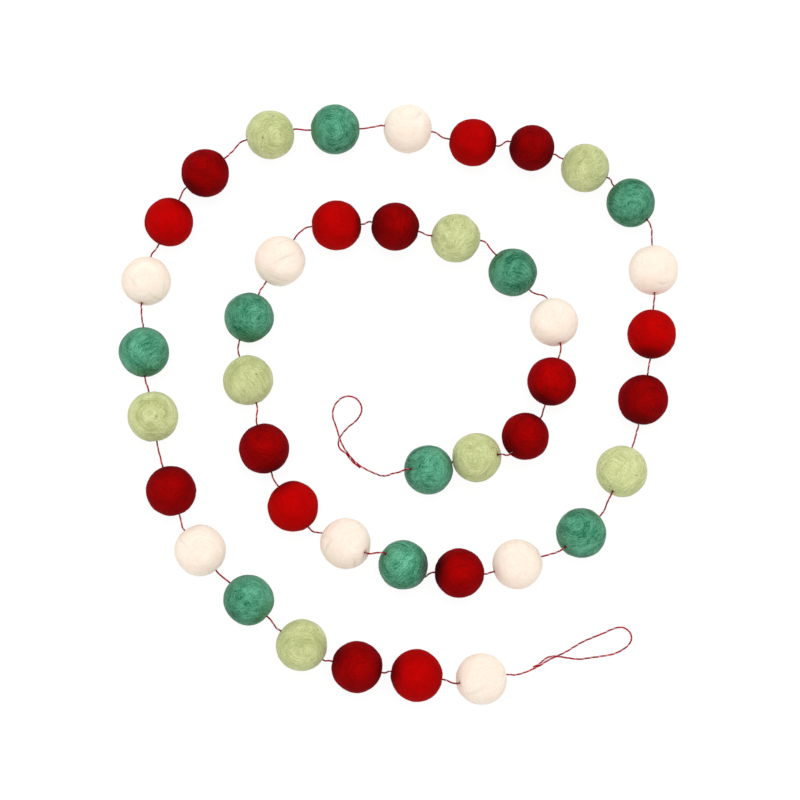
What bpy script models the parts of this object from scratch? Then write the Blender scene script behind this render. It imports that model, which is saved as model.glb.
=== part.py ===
"""Felt ball garland: 42 pierced felt balls threaded on one baker's twine, lying in a spiral.

Run with: blender --background --python part.py
Blender's units are metres, +Z up. The balls rest on the plane z = 0, and the middle of
their outline is the origin. Sizes below are in millimetres and angles in degrees.
"""

import math
from collections import namedtuple

import bpy
from mathutils import Vector

MM = 0.001

# The twine, and the needle hole that it leaves in a ball
TWINE = 0.9
CLEARANCE = 0.3
HOLE = TWINE + 2 * CLEARANCE

# A ball is soft, so its own weight presses a small flat spot at its lowest point.
FLAT_DEPTH = 0.5

# How finely the turned balls and the twine are drawn
BALL_STEPS = 12
BALL_ARCS = 8
TWINE_RESOLUTION = 2
GAP_SPACING = 4.0
LOOP_SPACING = 3.5

# Twine between two balls leaves each hole straight for LEAD, and hangs SAG of its span lower.
LEAD = 0.8
SAG = 0.08

# Direction from the first ball to the second, anticlockwise from +X
FIRST_HEADING = 177

# The block under the garland that cuts the flat spots
BENCH_SIDE = 600
BENCH_DEPTH = 20

FELT_COLOURS = {
    "cream": "F7EADB",
    "red": "B00508",
    "cranberry": "8A0508",
    "sage": "C2CA8E",
    "teal": "4A9073",
}
TWINE_COLOUR = "B5484C"

# One row for each ball, from the outer end of the spiral to the inner end.
# felt    the wool's colour
# across  the ball's diameter, mm
# gap     bare twine to the next ball, mm, measured between their round sides
# turn    how far the line of balls turns clockwise at this ball
# swing   how far the hole turns anticlockwise from the line of balls, seen from above
# tip     how far the hole's end towards the next ball is tipped up
Ball = namedtuple("Ball", "felt across gap turn swing tip")
STRINGING = (
    Ball("cream", 30.0, 7.5, 0, 13, 20),
    Ball("red", 30.5, 5.0, 5, -3, 0),
    Ball("cranberry", 30.0, 4.5, 13, 2, 0),
    Ball("sage", 30.0, 11.0, 19, -3, 5),
    Ball("teal", 29.5, 11.0, 5, 1, 0),
    Ball("cream", 30.0, 9.5, 18, 3, 5),
    Ball("cranberry", 29.5, 16.0, 12, -1, 0),
    Ball("sage", 30.0, 9.5, 6, -2, 10),
    Ball("teal", 30.0, 14.0, 9, -1, 0),
    Ball("cream", 29.5, 9.5, 19, 1, -5),
    Ball("red", 29.5, 8.5, 15, 4, 0),
    Ball("cranberry", 29.5, 17.0, 23, -6, 5),
    Ball("sage", 30.0, 10.0, 27, -5, 0),
    Ball("teal", 30.5, 14.5, 4, -1, 0),
    Ball("cream", 30.0, 11.5, 13, 0, -5),
    Ball("red", 29.5, 8.0, -7, 0, 0),
    Ball("cranberry", 28.5, 6.0, 17, -3, 0),
    Ball("sage", 30.0, 5.5, 17, 5, 5),
    Ball("teal", 30.0, 14.5, 35, 5, 10),
    Ball("cream", 30.5, 10.0, 20, -7, 5),
    Ball("red", 30.0, 11.0, 6, 1, 0),
    Ball("cranberry", 30.5, 15.5, 9, 2, 0),
    Ball("sage", 31.0, 14.5, 16, -1, 15),
    Ball("teal", 30.0, 13.0, 30, -1, 20),
    Ball("cream", 29.5, 5.5, 17, 0, 0),
    Ball("cranberry", 29.5, 4.0, 17, -2, 0),
    Ball("teal", 29.5, 6.5, 12, -14, 30),
    Ball("cream", 30.0, 8.0, 15, 0, -30),
    Ball("red", 30.0, 8.5, 28, -4, 0),
    Ball("cranberry", 30.0, 12.5, 13, -3, 5),
    Ball("sage", 30.0, 8.5, 14, 13, 0),
    Ball("teal", 30.0, 9.5, 27, -8, 5),
    Ball("cream", 30.5, 10.5, 29, 9, 5),
    Ball("red", 30.5, 6.0, 34, -13, 0),
    Ball("cranberry", 29.5, 8.0, 10, -6, 0),
    Ball("sage", 30.0, 11.0, 21, 17, -5),
    Ball("teal", 29.5, 10.0, 20, -3, -10),
    Ball("cream", 29.5, 7.5, 42, -5, 10),
    Ball("cranberry", 29.5, 8.5, 23, -2, 0),
    Ball("cranberry", 28.5, 3.5, 40, 6, 15),
    Ball("sage", 29.5, 0.4, 9, -16, -35),
    Ball("teal", 29.5, 0.0, 0, -11, 35),
)

# The hanging loops' routes, from the end ball's hole to the cut end of the twine:
# x and y from that ball's centre and z above the bench, mm. The twine comes down from the
# hole, lies on the bench, goes round the loop, passes over itself in a low hump and ends
# beside its own standing part.
OUTER_LOOP = (
    (21.0, 2.5, 5.5), (25.0, 3.3, 3.2), (28.5, 4.4, 1.6), (32.5, 6.1, 0.8),
    (37.0, 8.3, 0.8), (42.0, 11.4, 0.8), (46.6, 13.5, 0.8), (53.0, 16.5, 0.8),
    (58.0, 19.5, 0.8), (63.0, 22.3, 0.8), (69.5, 25.0, 0.8), (76.0, 27.6, 0.8),
    (81.5, 30.0, 0.8), (86.5, 30.8, 0.8), (90.5, 28.7, 0.8), (92.2, 25.0, 0.8),
    (91.0, 21.3, 0.8), (87.0, 17.8, 0.8), (81.0, 15.0, 0.8), (74.0, 13.7, 0.8),
    (67.5, 12.8, 0.8), (60.0, 11.9, 0.8), (53.5, 12.6, 1.4), (46.6, 13.5, 2.2),
    (42.4, 13.3, 1.5), (39.0, 11.4, 0.8), (36.5, 9.15, 0.8), (32.65, 7.25, 0.8),
)  # fmt: skip
INNER_LOOP = (
    (-18.5, -2.5, 20.0), (-21.5, -2.6, 16.0), (-24.5, -3.2, 11.0), (-28.0, -2.5, 5.5),
    (-31.0, -1.0, 2.6), (-34.5, 0.7, 1.1), (-39.5, 3.5, 0.8), (-43.8, 6.9, 0.8),
    (-48.6, 12.7, 0.8), (-51.0, 16.6, 0.8), (-52.7, 20.8, 0.8), (-54.8, 27.5, 0.8),
    (-57.0, 34.5, 0.8), (-55.8, 40.8, 0.8), (-51.3, 45.6, 0.8), (-46.2, 46.5, 0.8),
    (-41.6, 44.0, 0.8), (-39.4, 38.5, 0.8), (-42.0, 32.5, 0.8), (-48.0, 27.0, 1.3),
    (-52.7, 20.8, 2.2), (-53.5, 17.0, 1.5), (-52.1, 13.8, 0.8), (-49.35, 11.9, 0.8),
    (-44.55, 6.2, 0.8), (-40.2, 2.75, 0.8),
)  # fmt: skip

Place = namedtuple("Place", "centre hole")


def pointing(heading, tip=0):
    """Unit vector at a heading in plan, raised by tip degrees."""
    plan = math.radians(heading)
    rise = math.radians(tip)
    return Vector((math.cos(plan) * math.cos(rise), math.sin(plan) * math.cos(rise), math.sin(rise)))


def headings_of_line():
    """Heading from each ball to the next; the last ball keeps the one before it."""
    heading = FIRST_HEADING
    headings = []
    for ball in STRINGING[:-1]:
        heading -= ball.turn
        headings.append(heading)
    return headings + headings[-1:]


def ball_places():
    """Walks from ball to ball and returns each ball's centre and hole direction, in mm."""
    ahead = headings_of_line()
    behind = ahead[:1] + ahead[:-1]
    point = Vector((0, 0, 0))
    centres = []
    for ball, following, heading in zip(STRINGING, STRINGING[1:] + STRINGING[-1:], ahead):
        centres.append(Vector((point.x, point.y, ball.across / 2 - FLAT_DEPTH)))
        point = point + pointing(heading) * ((ball.across + following.across) / 2 + ball.gap)
    middle = middle_of_outline(centres)
    places = []
    for ball, centre, before, after in zip(STRINGING, centres, behind, ahead):
        hole = pointing((before + after) / 2 + ball.swing, ball.tip)
        places.append(Place(centre - middle, hole))
    return places


def middle_of_outline(centres):
    """Middle, in plan, of the box that holds every ball."""
    middle = Vector((0, 0, 0))
    for axis in range(2):
        low = min(c[axis] - b.across / 2 for b, c in zip(STRINGING, centres))
        high = max(c[axis] + b.across / 2 for b, c in zip(STRINGING, centres))
        middle[axis] = (low + high) / 2
    return middle


def hole_ends(ball, place):
    """The two points where the twine may start to bend, just outside the ball."""
    reach = place.hole * (ball.across / 2 + LEAD)
    return place.centre - reach, place.centre + reach


def bend(start, leaving, end, arriving, spacing):
    """Points after start, up to end, on a cubic that keeps both directions."""
    span = (end - start).length
    count = max(2, round(span / spacing))
    points = []
    for step in range(1, count + 1):
        t = step / count
        points.append(
            start * (2 * t**3 - 3 * t**2 + 1)
            + leaving * span * (t**3 - 2 * t**2 + t)
            + end * (3 * t**2 - 2 * t**3)
            + arriving * span * (t**3 - t**2)
        )
    return points


def gap_points(start, leaving, end, arriving):
    """The slack twine between two balls, which hangs a little low in the middle."""
    points = bend(start, leaving, end, arriving, GAP_SPACING)
    drop = SAG * (end - start).length
    for step, point in enumerate(points, 1):
        t = step / len(points)
        point.z -= drop * (4 * t * (1 - t)) ** 2
    return points


def loop_points(route, place, start, leaving):
    """A hanging loop's route as one smooth run of points from the hole's end."""
    base = Vector((place.centre.x, place.centre.y, 0))
    corners = [start] + [base + Vector(corner) for corner in route]
    headings = [leaving]
    headings += [(after - before).normalized() for before, after in zip(corners, corners[2:])]
    headings.append((corners[-1] - corners[-2]).normalized())
    points = []
    for index in range(len(corners) - 1):
        points += bend(
            corners[index], headings[index], corners[index + 1], headings[index + 1], LOOP_SPACING
        )
    return points


def twine_route(places):
    """Every point of the twine in mm, from the outer loop's cut end to the inner loop's."""
    ends = [hole_ends(ball, place) for ball, place in zip(STRINGING, places)]
    first, last = places[0], places[-1]
    route = loop_points(OUTER_LOOP, first, ends[0][0], -first.hole)[::-1]
    for index, (entry, leave) in enumerate(ends):
        route.append(entry)
        route.append(leave)
        if index + 1 < len(ends):
            next_entry = ends[index + 1][0]
            gap = gap_points(leave, places[index].hole, next_entry, places[index + 1].hole)
            route += gap[:-1]
    return route + loop_points(INNER_LOOP, last, ends[-1][1], last.hole)


def linear(channel):
    """One sRGB channel, 0 to 255, as linear light."""
    value = channel / 255
    return value / 12.92 if value <= 0.04045 else ((value + 0.055) / 1.055) ** 2.4


def make_material(name, colour, roughness):
    """A plain Principled finish with an sRGB hex colour."""
    material = bpy.data.materials.new(name)
    material.use_nodes = True
    shader = material.node_tree.nodes["Principled BSDF"]
    red, green, blue = (linear(int(colour[i : i + 2], 16)) for i in (0, 2, 4))
    shader.inputs["Base Color"].default_value = (red, green, blue, 1)
    shader.inputs["Roughness"].default_value = roughness
    shader.inputs["Metallic"].default_value = 0
    return material


def make_profile(across, material):
    """Closed half outline of a pierced ball: down its round side and up its hole's wall."""
    radius = across / 2 * MM
    hole = HOLE / 2 * MM
    pole = math.asin(hole / radius)
    outline = []
    for arc in range(BALL_ARCS + 1):
        angle = pole + (math.pi - 2 * pole) * arc / BALL_ARCS
        outline.append((radius * math.sin(angle), 0, radius * math.cos(angle)))
    count = len(outline)
    mesh = bpy.data.meshes.new(f"pierced ball {across} mm")
    mesh.from_pydata(outline, [(i, (i + 1) % count) for i in range(count)], [])
    mesh.materials.append(material)
    return mesh


def make_bench(collection):
    """The surface that flattens the balls. It only cuts, and isn't part of the garland."""
    side, depth = BENCH_SIDE * MM, BENCH_DEPTH * MM
    bpy.ops.mesh.primitive_cube_add(size=1, location=(0, 0, -depth / 2), scale=(side, side, depth))
    bench = bpy.context.object
    bench.name = "bench"
    bench.hide_render = True
    bench.display_type = "WIRE"
    for other in list(bench.users_collection):
        other.objects.unlink(bench)
    collection.objects.link(bench)
    return bench


def make_ball(number, ball, place, profile, bench, collection):
    """One felt ball: a profile turned about its hole, pressed flat where it rests."""
    piece = bpy.data.objects.new(f"ball_{number:02d}_{ball.felt}", profile)
    collection.objects.link(piece)
    piece.location = place.centre * MM
    heading = math.atan2(place.hole.y, place.hole.x)
    piece.rotation_euler = (0, math.radians(90 - ball.tip), heading)
    turned = piece.modifiers.new("turned", "SCREW")
    turned.steps = BALL_STEPS
    turned.render_steps = BALL_STEPS
    turned.merge_threshold = 0.00001
    turned.use_smooth_shade = True
    pressed = piece.modifiers.new("pressed flat", "BOOLEAN")
    pressed.operation = "DIFFERENCE"
    pressed.solver = "EXACT"
    pressed.object = bench
    return piece


def make_twine(places, material, collection):
    """The baker's twine: one tube along the whole route."""
    route = twine_route(places)
    curve = bpy.data.curves.new("twine", "CURVE")
    curve.dimensions = "3D"
    curve.bevel_depth = TWINE / 2 * MM
    curve.bevel_resolution = TWINE_RESOLUTION
    curve.use_fill_caps = True
    spline = curve.splines.new("POLY")
    spline.points.add(len(route) - 1)
    for point, place in zip(spline.points, route):
        point.co = (*(place * MM), 1)
    curve.materials.append(material)
    twine = bpy.data.objects.new("twine", curve)
    collection.objects.link(twine)
    length = sum((b - a).length for a, b in zip(route, route[1:]))
    print(f"twine: {len(route)} points, {length:.0f} mm long")
    return twine


def main():
    for old in list(bpy.data.objects):
        bpy.data.objects.remove(old, do_unlink=True)
    garland = bpy.data.collections.new("felt ball garland")
    tools = bpy.data.collections.new("cutters")
    for collection in (garland, tools):
        bpy.context.scene.collection.children.link(collection)
    bench = make_bench(tools)
    felts = {name: make_material(f"{name} felt", hue, 0.95) for name, hue in FELT_COLOURS.items()}
    profiles = {}
    places = ball_places()
    for number, (ball, place) in enumerate(zip(STRINGING, places), 1):
        kind = (ball.felt, ball.across)
        if kind not in profiles:
            profiles[kind] = make_profile(ball.across, felts[ball.felt])
        make_ball(number, ball, place, profiles[kind], bench, garland)
    make_twine(places, make_material("baker's twine", TWINE_COLOUR, 0.8), garland)


main()
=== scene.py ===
# %% [markdown]
# # A felt ball garland, finished around its frame
#
# The garland is 42 wool balls threaded on one red and white baker's twine. It lies in a
# spiral on a white table, with a hanging loop at each end of the twine.
#
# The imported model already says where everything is. Each ball there is a plain turned
# solid, which gives the right place and size but looks like a bead. This script keeps
# those places and makes the wool: lumpy rolled balls, loose fibres, and a twine of two
# plies that twist round each other.
#
# Lengths are in metres, as everywhere in Blender, so millimetres are written with MM.

# %% Load the frame
import math

import bpy
import numpy as np
from mathutils import Matrix, Vector


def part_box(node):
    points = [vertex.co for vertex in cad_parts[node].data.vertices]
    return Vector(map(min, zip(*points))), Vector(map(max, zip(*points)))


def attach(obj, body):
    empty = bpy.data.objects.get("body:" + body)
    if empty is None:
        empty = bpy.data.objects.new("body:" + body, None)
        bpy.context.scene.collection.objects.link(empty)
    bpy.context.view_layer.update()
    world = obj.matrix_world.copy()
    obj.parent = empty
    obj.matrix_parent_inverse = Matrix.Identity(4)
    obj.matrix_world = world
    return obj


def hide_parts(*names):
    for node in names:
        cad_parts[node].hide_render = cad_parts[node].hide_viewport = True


MM = 0.001
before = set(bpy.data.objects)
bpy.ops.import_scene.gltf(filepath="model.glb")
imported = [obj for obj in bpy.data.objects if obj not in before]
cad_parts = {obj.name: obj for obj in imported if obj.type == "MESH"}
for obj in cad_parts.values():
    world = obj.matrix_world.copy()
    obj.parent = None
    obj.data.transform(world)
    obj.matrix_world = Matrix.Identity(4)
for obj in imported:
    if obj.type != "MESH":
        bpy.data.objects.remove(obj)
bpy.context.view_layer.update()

# %% [markdown]
# ## The camera
#
# A garland that lies flat is looked at from above. Straight down would hide every round
# side, so the camera leans a little towards the near edge and a little to the left.
# A camera's axes can be set with Euler angles, but three unit vectors are easier to read:
# where it looks from, what is right, and what is up.

# %% Camera
AIM = Vector((-0.00162, -0.00283, 0.0147))
LEAN_NEAR = math.radians(10.4)
LEAN_LEFT = math.radians(3.7)
DISTANCE = 1.0
FIELD = 0.48  # width of the view at the garland

backwards = Vector((-math.tan(LEAN_LEFT), -math.tan(LEAN_NEAR), 1)).normalized()
right = Vector((0, 1, 0)).cross(backwards).normalized()
up = backwards.cross(right)
lens = bpy.data.cameras.new("camera")
lens.sensor_width = 36
lens.lens = lens.sensor_width * DISTANCE / FIELD
camera = bpy.data.objects.new("camera", lens)
camera.matrix_world = Matrix.Translation(AIM + backwards * DISTANCE) @ (
    Matrix((right, up, backwards)).transposed().to_4x4()
)
bpy.context.scene.collection.objects.link(camera)
bpy.context.scene.camera = camera
print(f"camera: {lens.lens:.0f} mm lens, {DISTANCE:.2f} m from the garland")

# %% [markdown]
# ## Where the balls sit, and which way their holes point
#
# The balls are threaded in a repeat of five colours, with a few left out, and the string is
# laid by hand, so gaps and bends vary. The walk below is the one that the frame was made
# with: each row is one ball, with its felt, its diameter, the bare twine to the next ball,
# how far the line turns there, and how its hole swings and tips from that line.
# The turns are added up with a running sum, which gives every heading at once.

# %% The stringing, one row for each ball
STRINGING = (
    ("cream", 30.0, 7.5, 0, 13, 20),
    ("red", 30.5, 5.0, 5, -3, 0),
    ("cranberry", 30.0, 4.5, 13, 2, 0),
    ("sage", 30.0, 11.0, 19, -3, 5),
    ("teal", 29.5, 11.0, 5, 1, 0),
    ("cream", 30.0, 9.5, 18, 3, 5),
    ("cranberry", 29.5, 16.0, 12, -1, 0),
    ("sage", 30.0, 9.5, 6, -2, 10),
    ("teal", 30.0, 14.0, 9, -1, 0),
    ("cream", 29.5, 9.5, 19, 1, -5),
    ("red", 29.5, 8.5, 15, 4, 0),
    ("cranberry", 29.5, 17.0, 23, -6, 5),
    ("sage", 30.0, 10.0, 27, -5, 0),
    ("teal", 30.5, 14.5, 4, -1, 0),
    ("cream", 30.0, 11.5, 13, 0, -5),
    ("red", 29.5, 8.0, -7, 0, 0),
    ("cranberry", 28.5, 6.0, 17, -3, 0),
    ("sage", 30.0, 5.5, 17, 5, 5),
    ("teal", 30.0, 14.5, 35, 5, 10),
    ("cream", 30.5, 10.0, 20, -7, 5),
    ("red", 30.0, 11.0, 6, 1, 0),
    ("cranberry", 30.5, 15.5, 9, 2, 0),
    ("sage", 31.0, 14.5, 16, -1, 15),
    ("teal", 30.0, 13.0, 30, -1, 20),
    ("cream", 29.5, 5.5, 17, 0, 0),
    ("cranberry", 29.5, 4.0, 17, -2, 0),
    ("teal", 29.5, 6.5, 12, -14, 30),
    ("cream", 30.0, 8.0, 15, 0, -30),
    ("red", 30.0, 8.5, 28, -4, 0),
    ("cranberry", 30.0, 12.5, 13, -3, 5),
    ("sage", 30.0, 8.5, 14, 13, 0),
    ("teal", 30.0, 9.5, 27, -8, 5),
    ("cream", 30.5, 10.5, 29, 9, 5),
    ("red", 30.5, 6.0, 34, -13, 0),
    ("cranberry", 29.5, 8.0, 10, -6, 0),
    ("sage", 30.0, 11.0, 21, 17, -5),
    ("teal", 29.5, 10.0, 20, -3, -10),
    ("cream", 29.5, 7.5, 42, -5, 10),
    ("cranberry", 29.5, 8.5, 23, -2, 0),
    ("cranberry", 28.5, 3.5, 40, 6, 15),
    ("sage", 29.5, 0.4, 9, -16, -35),
    ("teal", 29.5, 0.0, 0, -11, 35),
)
FIRST_HEADING = 177
FLAT_DEPTH = 0.5 * MM

felts = [row[0] for row in STRINGING]
across, gap, turn, swing, tip = np.array([row[1:] for row in STRINGING], float).T
across *= MM
gap *= MM
names = [f"ball_{number:02d}_{felt}" for number, felt in enumerate(felts, 1)]


# %% The walk from ball to ball
def pointing(heading, tip):
    """Unit vectors: (cos heading cos tip, sin heading cos tip, sin tip), angles in degrees."""
    plan, rise = np.radians(heading), np.radians(tip)
    return np.stack(
        [np.cos(plan) * np.cos(rise), np.sin(plan) * np.cos(rise), np.sin(rise)], axis=-1
    )


ahead = FIRST_HEADING - np.cumsum(turn)
ahead[-1] = ahead[-2]
behind = np.append(ahead[0], ahead[:-1])
step = (across[:-1] + across[1:]) / 2 + gap[:-1]
centres = np.zeros((len(names), 3))
centres[1:] = np.cumsum(pointing(ahead[:-1], 0 * ahead[:-1]) * step[:, None], axis=0)
low = (centres - across[:, None] / 2).min(axis=0)
high = (centres + across[:, None] / 2).max(axis=0)
centres -= (low + high) / 2
centres[:, 2] = across / 2 - FLAT_DEPTH
holes = pointing((ahead + behind) / 2 + swing, tip)

boxes = np.array([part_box(name) for name in names])
slip = np.abs(boxes.mean(axis=1)[:, :2] - centres[:, :2]).max()
print(f"{len(names)} balls, at most {slip / MM:.3f} mm from their frame nodes")

# %% [markdown]
# ## The twine's route
#
# Baker's twine is limp, but a needle has pulled it straight through each ball. Between
# two balls it leaves one hole and enters the next along their holes' lines, and its slack
# hangs a little low. A cubic that keeps the direction at both ends draws just that.
# The two hanging loops at the ends lie on the table: the twine comes down from the hole,
# goes round, passes over itself in a low hump and ends beside its own standing part.
# Their corners are joined by the same cubic. The whole route is then cut into even steps,
# so that the twist of the plies can be counted along it.

# %% The hanging loops' corners, in mm from the end ball's centre and up from the table
OUTER_LOOP = (
    (21.0, 2.5, 5.5), (25.0, 3.3, 3.2), (28.5, 4.4, 1.6), (32.5, 6.1, 0.8),
    (37.0, 8.3, 0.8), (42.0, 11.4, 0.8), (46.6, 13.5, 0.8), (53.0, 16.5, 0.8),
    (58.0, 19.5, 0.8), (63.0, 22.3, 0.8), (69.5, 25.0, 0.8), (76.0, 27.6, 0.8),
    (81.5, 30.0, 0.8), (86.5, 30.8, 0.8), (90.5, 28.7, 0.8), (92.2, 25.0, 0.8),
    (91.0, 21.3, 0.8), (87.0, 17.8, 0.8), (81.0, 15.0, 0.8), (74.0, 13.7, 0.8),
    (67.5, 12.8, 0.8), (60.0, 11.9, 0.8), (53.5, 12.6, 1.4), (46.6, 13.5, 2.2),
    (42.4, 13.3, 1.5), (39.0, 11.4, 0.8), (36.5, 9.15, 0.8), (32.65, 7.25, 0.8),
)  # fmt: skip
INNER_LOOP = (
    (-18.5, -2.5, 20.0), (-21.5, -2.6, 16.0), (-24.5, -3.2, 11.0), (-28.0, -2.5, 5.5),
    (-31.0, -1.0, 2.6), (-34.5, 0.7, 1.1), (-39.5, 3.5, 0.8), (-43.8, 6.9, 0.8),
    (-48.6, 12.7, 0.8), (-51.0, 16.6, 0.8), (-52.7, 20.8, 0.8), (-54.8, 27.5, 0.8),
    (-57.0, 34.5, 0.8), (-55.8, 40.8, 0.8), (-51.3, 45.6, 0.8), (-46.2, 46.5, 0.8),
    (-41.6, 44.0, 0.8), (-39.4, 38.5, 0.8), (-42.0, 32.5, 0.8), (-48.0, 27.0, 1.3),
    (-52.7, 20.8, 2.2), (-53.5, 17.0, 1.5), (-52.1, 13.8, 0.8), (-49.35, 11.9, 0.8),
    (-44.55, 6.2, 0.8), (-40.2, 2.75, 0.8),
)  # fmt: skip

# %% The route in even steps
LEAD = 0.8 * MM  # straight twine outside each hole
SAG = 0.08  # how low a gap hangs, as a share of its span
TWIST = 4.8 * MM  # one full turn of the two plies
SECTIONS_IN_A_TWIST = 8
FINE = np.linspace(0, 1, 25)[:, None]


def cubic(start, leaving, end, arriving):
    """Points on the cubic Hermite curve whose end directions are scaled by its span."""
    t, span = FINE, np.linalg.norm(end - start)
    return (
        start * (2 * t**3 - 3 * t**2 + 1)
        + leaving * span * (t**3 - 2 * t**2 + t)
        + end * (3 * t**2 - 2 * t**3)
        + arriving * span * (t**3 - t**2)
    )


def unit(vectors):
    """Vectors divided by their lengths."""
    return vectors / np.linalg.norm(vectors, axis=-1, keepdims=True)


def slack(start, leaving, end, arriving):
    """A gap's cubic, lowered by SAG x span x (4 t (1 - t)) squared."""
    points = cubic(start, leaving, end, arriving)
    drop = SAG * np.linalg.norm(end - start) * (4 * FINE * (1 - FINE)) ** 2
    return points - drop * np.array([0, 0, 1])


def hanging_loop(corners, centre, start, leaving):
    """Cubics through a loop's corners, each aimed from the corner before to the one after."""
    table_point = centre * np.array([1, 1, 0])
    through = np.vstack([start, np.array(corners) * MM + table_point])
    aims = np.vstack([leaving, unit(through[2:] - through[:-2]), unit(through[-1] - through[-2])])
    spans = zip(through[:-1], aims[:-1], through[1:], aims[1:])
    return np.vstack([cubic(*span) for span in spans])


reach = holes * (across[:, None] / 2 + LEAD)
entries, exits = centres - reach, centres + reach
gaps = [
    slack(exits[i], holes[i], entries[i + 1], holes[i + 1]) for i in range(len(names) - 1)
]
rough_route = np.vstack(
    [hanging_loop(OUTER_LOOP, centres[0], entries[0], -holes[0])[::-1]]
    + gaps
    + [hanging_loop(INNER_LOOP, centres[-1], exits[-1], holes[-1])]
)
stretch = np.append(0, np.cumsum(np.linalg.norm(np.diff(rough_route, axis=0), axis=1)))
twine_length = stretch[-1]
along = np.linspace(0, twine_length, round(twine_length / TWIST * SECTIONS_IN_A_TWIST))
route = np.stack([np.interp(along, stretch, rough_route[:, axis]) for axis in range(3)], axis=1)
print(f"twine: {twine_length * 1000:.0f} mm in {len(route)} even steps")


# %% [markdown]
# ## Helpers for meshes
#
# Every shape here is a grid of points worked out with numpy, and then handed to Blender
# in one go. A Python loop over the points would give the same mesh many times slower.

# %% Mesh helpers
def closed_grid(rows, columns, wrap_rows):
    """Corner numbers of the quads of a grid whose columns, and if asked rows, join up."""
    number = np.arange(rows * columns).reshape(rows, columns)
    beside, below = np.roll(number, -1, axis=1), np.roll(number, -1, axis=0)
    quads = np.stack([number, beside, np.roll(beside, -1, axis=0), below], axis=-1)
    return (quads if wrap_rows else quads[:-1]).reshape(-1, 4)


def add_mesh(name, points, *face_arrays):
    """A smooth mesh object from points and one array of corner numbers for each face size.

    The enclosed volume is the sum of p0 . (p1 x p2) / 6 over triangles. If that is
    negative the faces look inwards, so their corners are reversed.
    """
    triangles = np.concatenate(
        [faces[:, (0, k, k + 1)] for faces in face_arrays for k in range(1, faces.shape[1] - 1)]
    )
    a, b, c = (points[triangles[:, k]] for k in range(3))
    if np.einsum("ij,ij->", a - points[0], np.cross(b - points[0], c - points[0])) < 0:
        face_arrays = [faces[:, ::-1] for faces in face_arrays]
    sides = np.concatenate([np.full(len(faces), faces.shape[1]) for faces in face_arrays])
    mesh = bpy.data.meshes.new(name)
    mesh.vertices.add(len(points))
    mesh.vertices.foreach_set("co", points.astype(np.float32).ravel())
    mesh.loops.add(int(sides.sum()))
    corners = np.concatenate([faces.ravel() for faces in face_arrays])
    mesh.loops.foreach_set("vertex_index", corners.astype(np.int32))
    mesh.polygons.add(len(sides))
    mesh.polygons.foreach_set("loop_start", (np.cumsum(sides) - sides).astype(np.int32))
    mesh.update(calc_edges=True)
    mesh.shade_smooth()
    piece = bpy.data.objects.new(name, mesh)
    bpy.context.scene.collection.objects.link(piece)
    return piece


def keep_numbers(piece, name, values):
    """Stores one number, or one vector, for each point, for the material to read."""
    vector = values.ndim == 2
    kind, field = ("FLOAT_VECTOR", "vector") if vector else ("FLOAT", "value")
    stored = piece.data.attributes.new(name, kind, "POINT")
    stored.data.foreach_set(field, values.astype(np.float32).ravel())


# %% [markdown]
# ## Helpers for materials
#
# A shader is a small network of nodes. One function adds a node with its settings and
# links, so that each material below reads from top to bottom like a recipe.
# Colours are picked as sRGB hex values, and a shader wants linear light.

# %% Material helpers
def linear(hex_colour):
    """An sRGB hex colour as linear red, green, blue and alpha."""
    channels = np.array([int(hex_colour[i : i + 2], 16) for i in (0, 2, 4)]) / 255
    light = np.where(channels <= 0.04045, channels / 12.92, ((channels + 0.055) / 1.055) ** 2.4)
    return (*light.tolist(), 1.0)


def new_material(name):
    """An empty node material and its Principled shader."""
    material = bpy.data.materials.new(name)
    material.use_nodes = True
    return material, material.node_tree.nodes["Principled BSDF"]


def add(material, kind, settings=None, **inputs):
    """Adds a node. Settings are its properties, and inputs are numbers or other sockets.

    An input is named for its socket, with _ for a space, or in0, in1... for its place.
    """
    node = material.node_tree.nodes.new(f"ShaderNode{kind}")
    for setting, value in (settings or {}).items():
        setattr(node, setting, value)
    for name, value in inputs.items():
        place = name[2:]
        socket = node.inputs[int(place) if place.isdigit() else name.replace("_", " ")]
        if isinstance(value, bpy.types.NodeSocket):
            material.node_tree.links.new(value, socket)
        else:
            socket.default_value = value
    return node


# %% [markdown]
# ## The baker's twine
#
# Baker's twine is two cotton plies, one dyed red and one left white, twisted together.
# A striped texture on a plain tube would show the colours but not the rope's edge, where
# the plies bulge in turn. Here each ply is its own tube that winds round the route, and
# every point comes from one formula. The white ply is drawn much thinner than the red one,
# and both reach past the frame's 0.9 mm, because the twine looked too pale and thin without.
# Both plies are one mesh with two material slots, because they are one length of twine.

# %% Twine surface
PLY_SIDES = 6
RED_RADIUS = 0.53 * MM
WHITE_RADIUS = 0.18 * MM
REACH = 0.58 * MM  # from the route to the outside of each ply

# Slack twine doesn't lie quite straight, so it wanders a little between balls.
WANDER = 0.25 * MM
WANDER_LENGTH = 17 * MM
WANDER_BEAT = 3.7 * WANDER_LENGTH
NEAR_A_BALL = 3 * MM
WIDEST_GAP = 12 * MM

# The twine is painted darker where it dips into a hole: painted shade.
DIP = 0.55
DIP_LENGTH = 1.6 * MM

# The red ply is uneven along its length, and the white one is pink in most stretches.
DYE_PATCH = 5 * MM
DYE_SEED = 5
STAIN_SEED = 6
STAIN = (0.72, 0.12, 0.16)


def side_and_above(points):
    """Unit vectors across a route: level to one side of it, and square to both."""
    forward = unit(np.gradient(points, axis=0))
    side = unit(np.cross([0, 0, 1], forward))
    return side, np.cross(forward, side)


def from_balls(points):
    """Distances to the surfaces of the nearest ball and of the next nearest."""
    away = np.linalg.norm(points[:, None] - centres[None], axis=2) - across / 2
    return np.sort(away, axis=1)[:, :2].T


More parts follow.
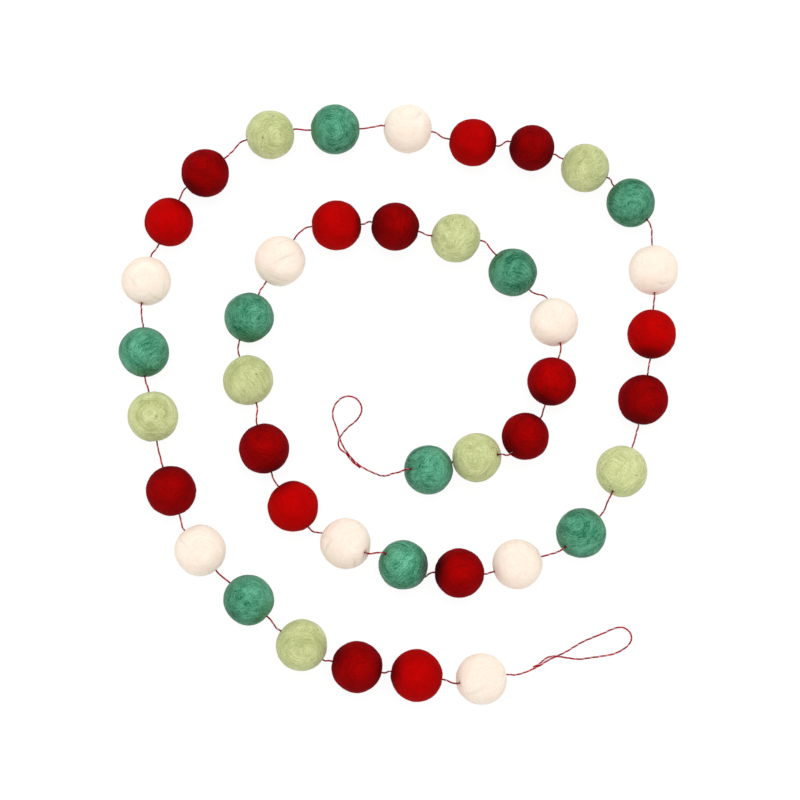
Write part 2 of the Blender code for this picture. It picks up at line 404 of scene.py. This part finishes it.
def free_of_balls(points):
    """0 inside and near a ball and in the loops, and up to 1 in the middle of a wide gap."""
    near, next_near = from_balls(points)
    return np.clip(near / NEAR_A_BALL, 0, 1) ** 2 * (next_near < WIDEST_GAP)


def twine_plies(points, distance):
    """Two tubes: route + offset (cos a, sin a) + radius (cos b, sin b), a = twist angle.

    The white ply is half a turn behind the red one, and b runs round each ply. Both
    touch the twine's outside, so a ply's offset is that reach less its own radius.
    """
    side, above = side_and_above(points)
    twist = 2 * np.pi * distance / TWIST
    rows = []
    for radius, half_turn in ((RED_RADIUS, 0), (WHITE_RADIUS, np.pi)):
        offset = REACH - radius
        a = (twist + half_turn)[:, None, None]
        b = np.linspace(0, 2 * np.pi, PLY_SIDES, endpoint=False)[None, :, None]
        level = offset * np.cos(a) + radius * np.cos(a + b)
        upright = offset * np.sin(a) + radius * np.sin(a + b)
        rows.append(points[:, None] + level * side[:, None] + upright * above[:, None])
    return rows


clear = free_of_balls(route)[:, None]
side, _ = side_and_above(route)
wave = np.sin(2 * np.pi * along / WANDER_LENGTH) * np.sin(2 * np.pi * along / WANDER_BEAT)
route = route + side * clear * WANDER * wave[:, None]

plies = twine_plies(route, along)
ends = [np.vstack([ply[0].mean(axis=0), ply[-1].mean(axis=0)]) for ply in plies]
tube = closed_grid(len(route), PLY_SIDES, wrap_rows=False)
ring = np.arange(PLY_SIDES)
tube_points, tube_faces, cap_faces = [], [], []
for ply, end in zip(plies, ends):
    start = sum(len(block) for block in tube_points)
    first_cap = start + ply.shape[0] * PLY_SIDES
    last_ring = first_cap - PLY_SIDES
    tube_points += [ply.reshape(-1, 3), end]
    tube_faces.append(tube + start)
    cap_faces += [
        np.stack([start + np.roll(ring, -1), start + ring, np.full(PLY_SIDES, first_cap)], 1),
        np.stack(
            [last_ring + ring, last_ring + np.roll(ring, -1), np.full(PLY_SIDES, first_cap + 1)], 1
        ),
    ]
twine = add_mesh(
    "bakers_twine", np.vstack(tube_points), np.vstack(tube_faces), np.vstack(cap_faces)
)
white_ply = np.zeros(len(twine.data.polygons), np.int32)
white_ply[len(tube) : 2 * len(tube)] = 1
white_ply[-2 * PLY_SIDES :] = 1
twine.data.polygons.foreach_set("material_index", white_ply)

# Painted shade where the twine dips into a hole
dip = 1 - DIP * np.exp(-((from_balls(route)[0].clip(0) / DIP_LENGTH) ** 2))
patches = round(twine_length / DYE_PATCH)
patch_places = np.linspace(0, twine_length, patches)
dye = np.random.default_rng(DYE_SEED).uniform(0.75, 1.35, patches)
dye = np.interp(along, patch_places, dye)
stain = np.random.default_rng(STAIN_SEED).uniform(-1.2, 1.6, patches)
stain = np.interp(along, patch_places, stain).clip(0, 1)[:, None]
stained = 1 - stain * (1 - np.array(STAIN))
red_tone = np.repeat(np.outer(dip * dye, np.ones(3)), PLY_SIDES, axis=0)
white_tone = np.repeat(dip[:, None] * stained, PLY_SIDES, axis=0)
keep_numbers(twine, "tone", np.vstack([red_tone, np.ones((2, 3)), white_tone, np.ones((2, 3))]))
print(f"twine: {len(twine.data.polygons)} faces, {2 * REACH / MM:.2f} mm across its plies")

# %% [markdown]
# ### Its cotton
#
# Spun cotton is matt. The red ply has brighter flecks and the white ply pink ones.
# The cotton's own spin is finer than can be seen, so it is drawn as flecks 0.5 mm long.

# %% Cotton
FLECK = 0.5 * MM


def cotton(name, base, fleck):
    """Spun cotton: a base colour with flecks, rough and hardly shining."""
    material, shader = new_material(name)
    place = add(material, "TexCoord").outputs["Object"]
    flecks = add(material, "TexNoise", Vector=place, Scale=0.5 / FLECK, Detail=3.0)
    amount = add(
        material, "MapRange", Value=flecks.outputs["Fac"], From_Min=0.48, From_Max=0.72
    ).outputs["Result"]
    colour = add(
        material, "Mix", {"data_type": "RGBA"}, in0=amount, in6=linear(base), in7=linear(fleck)
    ).outputs[2]
    tone = add(material, "Attribute", {"attribute_name": "tone"}).outputs["Vector"]
    colour = add(
        material, "VectorMath", {"operation": "MULTIPLY"}, in0=colour, in1=tone
    ).outputs[0]
    bump = add(material, "Bump", Height=flecks.outputs["Fac"], Strength=0.5, Distance=0.08 * MM)
    material.node_tree.links.new(colour, shader.inputs["Base Color"])
    material.node_tree.links.new(bump.outputs["Normal"], shader.inputs["Normal"])
    shader.inputs["Roughness"].default_value = 0.9
    shader.inputs["Specular IOR Level"].default_value = 0.1
    return material


twine.data.materials.append(cotton("red dyed cotton ply", "9A0014", "CC1434"))
twine.data.materials.append(cotton("undyed cotton ply", "F0DEDA", "D08C90"))

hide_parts("twine")
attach(twine, "root")

# %% [markdown]
# ## The wool's directions
#
# A felt ball starts as a wisp of combed wool that is wound round and round, wetted and
# rolled between the palms until the fibres lock. Its surface keeps the winding: bundles of
# fibre run in arcs, in patches that cross each other, like the lines of a fingerprint.
#
# To draw arcs on a ball, each winding has an axis. For a point on the ball, the angle from
# that axis is measured across the bundles, and the other two coordinates run along them.
# Noise that is squeezed across and stretched along then makes streaks that follow arcs.
#
# Soft noise comes from a table of random numbers that fill a lattice. Between the lattice
# points the numbers are blended with a smooth step, all points at once.

# %% Soft noise
LATTICE = 32


def soft_noise(points, seed):
    """Smooth numbers from -1 to 1: a random lattice, blended by t t (3 - 2 t) on each axis."""
    table = np.random.default_rng(seed).uniform(-1, 1, (LATTICE, LATTICE, LATTICE))
    cell = np.floor(points).astype(int)
    t = points - cell
    t = t * t * (3 - 2 * t)
    total = 0
    for corner in np.ndindex(2, 2, 2):
        weight = np.prod(np.where(corner, t, 1 - t), axis=-1)
        x, y, z = np.moveaxis((cell + corner) % LATTICE, -1, 0)
        total = total + weight * table[x, y, z]
    return total


# %% Windings
def random_directions(random, count):
    """Unit vectors spread evenly over a sphere: normal draws divided by their lengths."""
    return unit(random.normal(size=(count, 3)))


def axes_about(axis):
    """Two unit vectors square to an axis and to each other."""
    helper = np.array([1.0, 0, 0]) if abs(axis[0]) < 0.8 else np.array([0, 1.0, 0])
    across_it = unit(np.cross(axis, helper))
    return across_it, np.cross(axis, across_it)


def winding_coordinates(directions, axis, radius):
    """(R d.b, R d.c, R arccos d.a): two lengths along the wool bundles, one across them."""
    b, c = axes_about(axis)
    angle = np.arccos(np.clip(directions @ axis, -1, 1))
    return radius * np.stack([directions @ b, directions @ c, angle], axis=-1)


# %% [markdown]
# ## The felt ball's surface
#
# Each ball is one closed grid, like a ring doughnut whose hole is only as wide as a
# needle: its rows go from the hole's near rim round the outside to the far rim, and then
# back along the hole's wall. A plain UV sphere would close over the twine.
#
# The radius changes from place to place:
# - lumps, because hand-rolled balls are never true
# - ridges along both windings
# - a few creases, where the wool folded before it locked
# - a dimple at each hole, where the needle pulled the wool in
#
# A ball is soft and has weight, so the height above the table is pressed through a curve
# that never goes below zero. That makes a small flat foot.

# %% Felt ball radius
ROWS = 60
WALL_ROWS = 4
COLUMNS = 88
HOLE_RADIUS = 0.72 * MM
LUMP = 0.30 * MM
LUMP_LENGTH = 9 * MM
RIDGE = 0.10 * MM
RIDGE_LENGTH = 8 * MM
RIDGE_WIDTH = 1.7 * MM
STRAY = 1.6 * MM
STRAY_LENGTH = 4.5 * MM
CREASES = 5
CREASE_DEPTH = 0.28 * MM
CREASE_WIDTH = 0.7 * MM
DIMPLE = 0.9 * MM
DIMPLE_WIDTH = 1.7 * MM
FOOT = 0.4 * MM


def crease_depths(directions, radius, random):
    """Sum over creases of exp(-(s / width)^2) exp(-(q / spread)^2).

    s is the distance across a small circle of the ball, and q the angle along it from the
    crease's middle.
    """
    total = 0
    for axis in random_directions(random, CREASES):
        b, c = axes_about(axis)
        opening, middle, spread, strength = random.uniform(
            (0.5, -3.1, 0.25, 0.4), (1.4, 3.1, 0.6, 1)
        )
        s = radius * (np.arccos(np.clip(directions @ axis, -1, 1)) - opening)
        angle = np.arctan2(directions @ c, directions @ b) - middle
        q = np.angle(np.exp(1j * angle))
        total = total + strength * np.exp(-((s / CREASE_WIDTH) ** 2) - (q / spread) ** 2)
    return total


class FeltBall:
    """One ball's size, place, winding axes and random seed."""

    def __init__(self, number):
        self.seed = 100 * number
        self.radius = across[number] / 2
        self.centre = centres[number]
        self.hole = holes[number]
        random = np.random.default_rng(self.seed)
        first = unit(np.array([0, 0, 2.0]) + random_directions(random, 1)[0])
        self.winding_axes = [first, random_directions(random, 1)[0]]

    def windings(self, directions):
        """Each winding's coordinates, pushed about by noise so that no arc is a true circle."""
        places = directions * self.radius / STRAY_LENGTH + 9
        push = np.stack([soft_noise(places, self.seed + k) for k in (21, 22, 23)], axis=-1)
        return [
            winding_coordinates(directions, axis, self.radius) + STRAY * push
            for axis in self.winding_axes
        ]

    def creases(self, directions):
        """Crease depths, always from the same draws."""
        return crease_depths(directions, self.radius, np.random.default_rng(self.seed + 1))

    def from_hole(self, directions):
        """Distance along the surface to the nearer end of the hole."""
        return self.radius * np.arccos(np.clip(np.abs(directions @ self.hole), 0, 1))

    def surface_radius(self, directions):
        """Radius + lumps + ridges - creases - dimples."""
        lumps = soft_noise(directions * self.radius / LUMP_LENGTH + 9, self.seed + 2)
        squeeze = np.array([RIDGE_LENGTH, RIDGE_LENGTH, RIDGE_WIDTH])
        ridges = sum(
            soft_noise(winding / squeeze + 9, self.seed + 3 + index)
            for index, winding in enumerate(self.windings(directions))
        )
        dimples = np.exp(-((self.from_hole(directions) / DIMPLE_WIDTH) ** 2))
        return (
            self.radius
            - 0.25 * LUMP
            + LUMP * lumps
            + RIDGE * ridges
            - CREASE_DEPTH * self.creases(directions)
            - DIMPLE * dimples
        )

    def placed(self, offsets):
        """Offsets from the centre as points, with heights pressed to (z + sqrt(z z + k k)) / 2."""
        points = offsets + self.centre
        height = points[..., 2]
        points[..., 2] = (height + np.sqrt(height**2 + FOOT**2)) / 2
        return points


# %% Felt ball grid
def ball_grid(ball):
    """Directions and points of one ball's closed grid.

    Outside rows: d = hole cos v + (b cos u + c sin u) sin v, rows closer near the hole.
    Wall rows: hole x height + (b cos u + c sin u) x hole radius.
    """
    b, c = axes_about(ball.hole)
    u = np.linspace(0, 2 * np.pi, COLUMNS, endpoint=False)
    around = np.cos(u)[:, None] * b + np.sin(u)[:, None] * c
    rim = np.arcsin(HOLE_RADIUS / ball.radius)
    even = np.linspace(0, np.pi, ROWS)
    v = rim + (np.pi - 2 * rim) * (even - 0.14 * np.sin(2 * even)) / np.pi
    outside = np.cos(v)[:, None, None] * ball.hole + np.sin(v)[:, None, None] * around
    skin = ball.surface_radius(outside)[..., None] * outside
    depth = ball.radius - DIMPLE
    heights = np.linspace(-depth, depth, WALL_ROWS + 2)[1:-1]
    wall = heights[:, None, None] * ball.hole + HOLE_RADIUS * around
    offsets = np.concatenate([skin, wall])
    return unit(offsets), ball.placed(offsets)


# %% [markdown]
# ### What the material needs to know
#
# A material can read numbers that are kept on the mesh's points. Each ball keeps its
# windings' coordinates, so that the colour streaks lie on the ridges, and two more things:
# - tone, a red, green and blue share that multiplies the wool's colour. It holds painted
#   shade in the creases, at the holes and round them, painted shade and light on the sides
#   and top of each felt, and makes some balls lighter or darker than others.
# - bleed, where the wool next to a hole is pink
#
# Balls that nearly touch also colour and shade each other. The path tracer works this out
# from the lights, and for cream and sage wool nothing is added. Red, cranberry and teal wool
# comes out too light where it faces a neighbour, so there tone also holds
# 1 - share x (1 - the neighbour's colour). This shade is painted on: it belongs to this
# layout, and it stays where it is if the balls are moved or the light changes. The darker
# holes, the shade round them, the darker creases, and the tones on the sides and on the top
# of each felt are painted shade and light as well. They were set by comparing, too, and
# aren't worked out from how wool scatters light.

# %% Make the balls

# Balls that look lighter or darker than the rest of their colour, by number
BALL_TONES = {
    16: 0.9, 17: 0.85, 18: 0.95, 19: 0.95, 22: 0.95, 23: 1.05, 26: 1.1, 27: 1.1,
    29: 1.05, 35: 0.85, 37: 0.9, 39: 1.25, 40: 1.1, 42: 1.05,
}  # fmt: skip
BLEED = 3.5 * MM

# Painted shade: how much darker each felt is painted at its holes, round them and on its
# sides, where less than 0 is painted light, and the painted tone of its top
AT_HOLE = {"cream": 0.15, "red": 0.45, "cranberry": 0.45, "sage": 0.3, "teal": 0.45}
SHADE_ROUND_HOLES = {"cream": 0.0, "red": 0.2, "cranberry": 0.25, "sage": 0.0, "teal": 0.1}
DARKER_SIDES = {"cream": -0.1, "red": 0.1, "cranberry": 0.27, "sage": -0.08, "teal": 0.12}
TOP_TONE = {"cream": 0.95, "red": 0.98, "cranberry": 1.05, "sage": 0.98, "teal": 0.98}
AT_HOLE_WIDTH = 1.4 * MM
SHADE_ROUND_HOLES_WIDTH = 8 * MM
# Painted shade in the creases
IN_CREASES = 0.18

# The colour that each felt sends to its neighbours, and how much of it is painted on the
# felts that come out too light without it
SENDS = {
    "cream": (1.0, 0.9, 0.8), "red": (0.6, 0.0, 0.05), "cranberry": (0.45, 0.0, 0.05),
    "sage": (0.6, 0.65, 0.35), "teal": (0.1, 0.6, 0.35),
}  # fmt: skip
SHOWS = {"red": 1.0, "cranberry": 1.0, "teal": 0.75}
FACING = 11.5 * MM

# How much darker still it is painted where two balls almost touch
CROWDING = 0.75
CROWDED = 3 * MM
CROWDED_WIDTH = 0.7 * FACING


def neighbour_tone(number, directions):
    """Product over the two neighbours of 1 - share (1 - their colour) exp(-(s / FACING)^4).

    s is the distance along the ball from the point that faces the neighbour. Each neighbour
    also gives 1 - CROWDING exp(-gap / CROWDED - (s / CROWDED_WIDTH)^2). A felt that isn't in
    SHOWS has nothing painted on.
    """
    tone = np.ones((len(directions), 3))
    if felts[number] not in SHOWS:
        return tone
    for other in {max(number - 1, 0), min(number + 1, len(names) - 1)} - {number}:
        towards = unit(centres[other] - centres[number])
        s = across[number] / 2 * np.arccos(np.clip(directions @ towards, -1, 1))
        share = SHOWS[felts[number]] * np.exp(-((s / FACING) ** 4))
        tone = tone * (1 - share[:, None] * (1 - np.array(SENDS[felts[other]])))
        squeeze = CROWDING * np.exp(-gap[min(number, other)] / CROWDED - (s / CROWDED_WIDTH) ** 2)
        tone = tone * (1 - squeeze[:, None])
    return tone


balls = [FeltBall(number) for number in range(len(names))]
grid = closed_grid(ROWS + WALL_ROWS, COLUMNS, wrap_rows=True)
ball_pieces = []
for number, (ball, name, felt) in enumerate(zip(balls, names, felts)):
    directions, points = ball_grid(ball)
    directions = directions.reshape(-1, 3)
    piece = add_mesh(f"{name}_felt", points.reshape(-1, 3), grid)
    random = np.random.default_rng(ball.seed + 7)
    for letter, winding in zip("ab", ball.windings(directions)):
        keep_numbers(piece, f"winding_{letter}", winding + random.uniform(0, 1, 3))
    from_hole = ball.from_hole(directions)
    tone = BALL_TONES.get(number + 1, 1.0)
    # Painted shade at the holes, round them and in the creases; painted shade and light on sides
    # and top
    tone = tone * (1 - AT_HOLE[felt] * np.exp(-((from_hole / AT_HOLE_WIDTH) ** 2)))
    # Painted shade round the holes, over a wide patch
    tone = tone * (1 - SHADE_ROUND_HOLES[felt] * np.exp(-((from_hole / SHADE_ROUND_HOLES_WIDTH) ** 2)))
    tone = tone * (1 - IN_CREASES * ball.creases(directions).clip(0, 1))
    sideways = 1 - directions[:, 2].clip(0, 1) ** 4
    tone = tone * TOP_TONE[felt] * (1 - DARKER_SIDES[felt] * sideways)
    keep_numbers(piece, "tone", tone[:, None] * neighbour_tone(number, directions))
    ends_of_hole = np.sign(directions @ ball.hole)
    strength = np.where(ends_of_hole > 0, *random.uniform(0.1, 0.8, 2))
    keep_numbers(piece, "bleed", strength * np.exp(-((from_hole / BLEED) ** 2)))
    ball_pieces.append(piece)
print(f"{len(ball_pieces)} balls of {len(grid)} quads each")

# %% [markdown]
# ### The loose fibres
#
# Felt is never shaved: single fibres stand off it and catch the light, which is why its
# edge looks soft. Blender's hair would need to be turned into a mesh before it could be
# exported, so the fibres are made as meshes at once. Each is a three-sided spike of ten
# points that leaves the wool, lies along the ball and lifts at its tip. A wool fibre is
# about 0.03 mm thick, which is too fine to see, so these are made 0.09 mm.

# %% Fibres
FIBRES_ON_A_BALL = 420
FIBRE_RADIUS = 0.045 * MM
STATIONS = np.array([0, 0.35, 0.7, 1.0])
TAPER = np.array([1, 0.85, 0.6])
FIBRE_LENGTH = (1.5 * MM, 4.5 * MM)
FIBRE_LIFT = (0.1 * MM, 0.9 * MM)
ROOTED = 0.12 * MM  # how deep a fibre starts in the wool
CLEAR_OF_HOLE = 2.5 * MM


def fibre_points(ball, count, random):
    """Ten points for each fibre: three corners at three stations, and a tip.

    A fibre's line is r(d) + lift x s^1.6 along the direction d + t s length / R, made unit
    again, so it bends with the ball.
    """
    roots = random_directions(random, 2 * count)
    roots = roots[(roots[:, 2] > -0.8) & (ball.from_hole(roots) > CLEAR_OF_HOLE)][:count]
    along_winding = unit(np.cross(ball.winding_axes[0], roots))
    tangent = along_winding + 0.7 * random_directions(random, len(roots))
    tangent = unit(tangent - (tangent * roots).sum(1, keepdims=True) * roots)
    least, most = zip(FIBRE_LENGTH, FIBRE_LIFT)
    length, lift = random.uniform(least, most, (len(roots), 2)).T
    lift = lift * random.uniform(0, 1, len(roots)) ** 1.5
    s = STATIONS[None, :, None]
    line = unit(roots[:, None] + tangent[:, None] * s * (length / ball.radius)[:, None, None])
    height = ball.surface_radius(line) - ROOTED + (lift[:, None] + ROOTED) * STATIONS**1.6
    spine = height[..., None] * line
    cross = np.cross(tangent, roots)[:, None]
    corners = np.array([0, 2 * np.pi / 3, 4 * np.pi / 3])[None, None, :, None]
    section = np.cos(corners) * line[:, :3, None] + np.sin(corners) * cross[:, :, None]
    thick = (FIBRE_RADIUS * TAPER)[None, :, None, None]
    sides = spine[:, :3, None] + thick * section
    offsets = np.concatenate([sides.reshape(len(roots), 9, 3), spine[:, 3:]], axis=1)
    return ball.placed(offsets)


def fibre_faces(count):
    """Quads and triangles of every fibre: three sides in two bands, a tip and a closed root."""
    i, j = np.arange(3), np.roll(np.arange(3), -1)
    band = np.stack([i, j, j + 3, i + 3], 1)
    bands = np.concatenate([band, band + 3])
    caps = np.concatenate([np.stack([i + 6, j + 6, np.full(3, 9)], 1), [[2, 1, 0]]])
    starts = 10 * np.arange(count)[:, None, None]
    return (bands + starts).reshape(-1, 4), (caps + starts).reshape(-1, 3)


fibre_pieces = {}
for felt in dict.fromkeys(felts):
    blocks = [
        fibre_points(ball, FIBRES_ON_A_BALL, np.random.default_rng(ball.seed + 11))
        for ball, its_felt in zip(balls, felts)
        if its_felt == felt
    ]
    fibres = np.concatenate(blocks)
    fibre_pieces[felt] = add_mesh(
        f"{felt}_loose_fibres", fibres.reshape(-1, 3), *fibre_faces(len(fibres))
    )
    print(f"{felt}: {len(fibres)} fibres on {len(blocks)} balls")

# %% [markdown]
# ## Felt
#
# Wet-felted wool is matt: it has no highlight, only a soft sheen at its edge. Its colour
# is never even. Streaks about 0.5 mm wide and 3.5 mm long follow the windings, broader bands
# of 3 mm run the same way, a tangle of about 0.4 mm lies over them, and the whole is clouded
# in patches of about 4 mm. Noise on the kept winding coordinates draws the streaks and the
# bands, and noise on the object's own coordinates draws the tangle and the clouds. Streaks
# and tangle also drive the bump, so light and colour agree. The sizes and colours were set
# by comparing, and the marks themselves are random.

# %% Felt material
STREAK_LENGTH = 3.5 * MM
STREAK_WIDTH = 0.48 * MM
TANGLE = 0.42 * MM
BAND = 3 * MM
CLOUD = 4 * MM
WINDING_PATCH = 8 * MM  # one winding or the other is on top
SPECK_SPACING = 7 * MM

# How much of the colour comes from each pattern
FROM_STREAK = 0.33
FROM_TANGLE = 0.32
FROM_CLOUD = 0.2
FROM_BAND = 0.15


def felt_wool(name, light, dark, sheen, tint, bleeding, speck):
    """Wet-felted wool in one dye, from its darker bundles to its lighter ones."""
    material, shader = new_material(name)
    place = add(material, "TexCoord").outputs["Object"]

    def noise(vector, size, detail=2.0):
        scale = 0.5 / size
        return add(material, "TexNoise", Vector=vector, Scale=scale, Detail=detail).outputs["Fac"]

    def combine(operation, first, second):
        return add(material, "Math", {"operation": operation}, in0=first, in1=second).outputs[0]

    streaks, squeezed_windings = [], []
    for letter in "ab":
        winding = add(material, "Attribute", {"attribute_name": f"winding_{letter}"})
        squeezed = add(
            material,
            "VectorMath",
            {"operation": "MULTIPLY"},
            in0=winding.outputs["Vector"],
            in1=(STREAK_WIDTH / STREAK_LENGTH, STREAK_WIDTH / STREAK_LENGTH, 1),
        ).outputs[0]
        streaks.append(noise(squeezed, STREAK_WIDTH))
        squeezed_windings.append(squeezed)
    band = noise(squeezed_windings[0], BAND, 0.0)
    patch = add(
        material, "MapRange", Value=noise(place, WINDING_PATCH), From_Min=0.48, From_Max=0.62
    ).outputs["Result"]
    streak = add(material, "Mix", in0=patch, in2=streaks[0], in3=streaks[1]).outputs[0]
    tangle = noise(place, TANGLE, 3.0)
    cloud = noise(place, CLOUD)
    wool = combine("MULTIPLY", streak, FROM_STREAK)
    for pattern, share in ((tangle, FROM_TANGLE), (cloud, FROM_CLOUD), (band, FROM_BAND)):
        wool = combine("ADD", wool, combine("MULTIPLY", pattern, share))
    amount = add(material, "MapRange", Value=wool, From_Min=0.4, From_Max=0.6).outputs["Result"]
    colour = add(
        material, "Mix", {"data_type": "RGBA"}, in0=amount, in6=linear(dark), in7=linear(light)
    ).outputs[2]
    if speck:
        spots = add(
            material, "TexVoronoi", {"feature": "F1"}, Vector=place, Scale=1 / SPECK_SPACING
        ).outputs["Distance"]
        spotted = add(
            material, "MapRange", Value=spots, From_Min=0.05, From_Max=0.09, To_Min=0.8, To_Max=0
        ).outputs["Result"]
        colour = add(
            material, "Mix", {"data_type": "RGBA"}, in0=spotted, in6=colour, in7=linear(speck)
        ).outputs[2]
    if bleeding:
        bleed = add(material, "Attribute", {"attribute_name": "bleed"}).outputs["Fac"]
        colour = add(
            material,
            "Mix",
            {"data_type": "RGBA"},
            in0=combine("MULTIPLY", bleed, combine("MULTIPLY", cloud, bleeding)),
            in6=colour,
            in7=linear("E0566A"),
        ).outputs[2]
    tone = add(material, "Attribute", {"attribute_name": "tone"}).outputs["Vector"]
    colour = add(
        material, "VectorMath", {"operation": "MULTIPLY"}, in0=colour, in1=tone
    ).outputs[0]
    height = combine("ADD", streak, combine("MULTIPLY", tangle, 0.6))
    bump = add(material, "Bump", Height=height, Strength=0.45, Distance=0.3 * MM)
    material.node_tree.links.new(colour, shader.inputs["Base Color"])
    material.node_tree.links.new(bump.outputs["Normal"], shader.inputs["Normal"])
    shader.inputs["Roughness"].default_value = 0.95
    shader.inputs["Specular IOR Level"].default_value = 0.05
    shader.inputs["Sheen Weight"].default_value = sheen
    shader.inputs["Sheen Roughness"].default_value = 0.5
    shader.inputs["Sheen Tint"].default_value = linear(tint)
    return material


def loose_wool(name, colour):
    """Single wool fibres: one even colour, and matt."""
    material, shader = new_material(name)
    shader.inputs["Base Color"].default_value = linear(colour)
    shader.inputs["Roughness"].default_value = 0.8
    shader.inputs["Specular IOR Level"].default_value = 0.2
    return material


# Each felt's lighter bundles, darker bundles, sheen and its tint, loose fibres, how far
# the twine's dye shows in it, and its specks
DYES = {
    "cream": ("FFF4E6", "FBE6D4", 0.1, "FFFAF0", "FFF8F0", 0.8, None),
    "red": ("C00000", "A80000", 0.03, "D00020", "A00810", 0, None),
    "cranberry": ("A20000", "7C0000", 0.12, "D00048", "780810", 0, None),
    "sage": ("D6DCA2", "A8B072", 0.28, "F4F0E8", "CED2B0", 0.4, "4A4A2C"),
    "teal": ("68B492", "0C6242", 0.16, "F4E8EC", "84AC9A", 0, None),
}
for felt, (light, dark, sheen, tint, fibre, bleeding, speck) in DYES.items():
    wool = felt_wool(f"{felt} wool felt", light, dark, sheen, tint, bleeding, speck)
    for piece, its_felt in zip(ball_pieces, felts):
        if its_felt == felt:
            piece.data.materials.append(wool)
    fibre_pieces[felt].data.materials.append(loose_wool(f"{felt} wool fibre", fibre))
    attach(fibre_pieces[felt], "root")

for piece, name, felt in zip(ball_pieces, names, felts):
    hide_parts(name)
    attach(piece, "root")

# %% [markdown]
# ## The table and the light
#
# The garland lies on a white light table in a white room: soft light from everywhere, more
# of it from a wide panel overhead and a little to the far side, and hardly any shadow. The
# table is opal acrylic lit from below. Its glow drowns the shadow that each ball would cast,
# but it is kept close to plain white, because a brighter table glares over the thin twine.

# %% Table
TABLE_SIDE = 80.0
TABLE_DROP = 0.05 * MM
TABLE_GLOW = 0.90

corner = TABLE_SIDE / 2
table_points = np.array(
    [(x, y, -TABLE_DROP) for x, y in ((-1, -1), (1, -1), (1, 1), (-1, 1))]
) * np.array([corner, corner, 1])
table = add_mesh("light_table", table_points, np.array([[0, 1, 2, 3]]))
opal, shader = new_material("opal acrylic")
shader.inputs["Base Color"].default_value = linear("626262")
shader.inputs["Roughness"].default_value = 0.8
shader.inputs["Specular IOR Level"].default_value = 0.0
shader.inputs["Emission Color"].default_value = (1, 1, 1, 1)
shader.inputs["Emission Strength"].default_value = TABLE_GLOW
table.data.materials.append(opal)


# %% Lights
def add_panel(name, place, aim, side, watts):
    """A square soft panel at a place, turned to face its aim."""
    panel = bpy.data.lights.new(name, "AREA")
    panel.size = side
    panel.energy = watts
    lamp = bpy.data.objects.new(name, panel)
    lamp.location = place
    lamp.rotation_euler = (Vector(aim) - Vector(place)).to_track_quat("-Z", "Y").to_euler()
    bpy.context.scene.collection.objects.link(lamp)


add_panel("overhead panel", (-0.05, 0.22, 1.7), (0, 0, 0), 1.6, 21)
room = bpy.data.worlds.new("white room")
room.use_nodes = True
room.node_tree.nodes["Background"].inputs["Color"].default_value = (1, 1, 1, 1)
room.node_tree.nodes["Background"].inputs["Strength"].default_value = 0.58
bpy.context.scene.world = room
bpy.context.scene.view_settings.view_transform = "Standard"
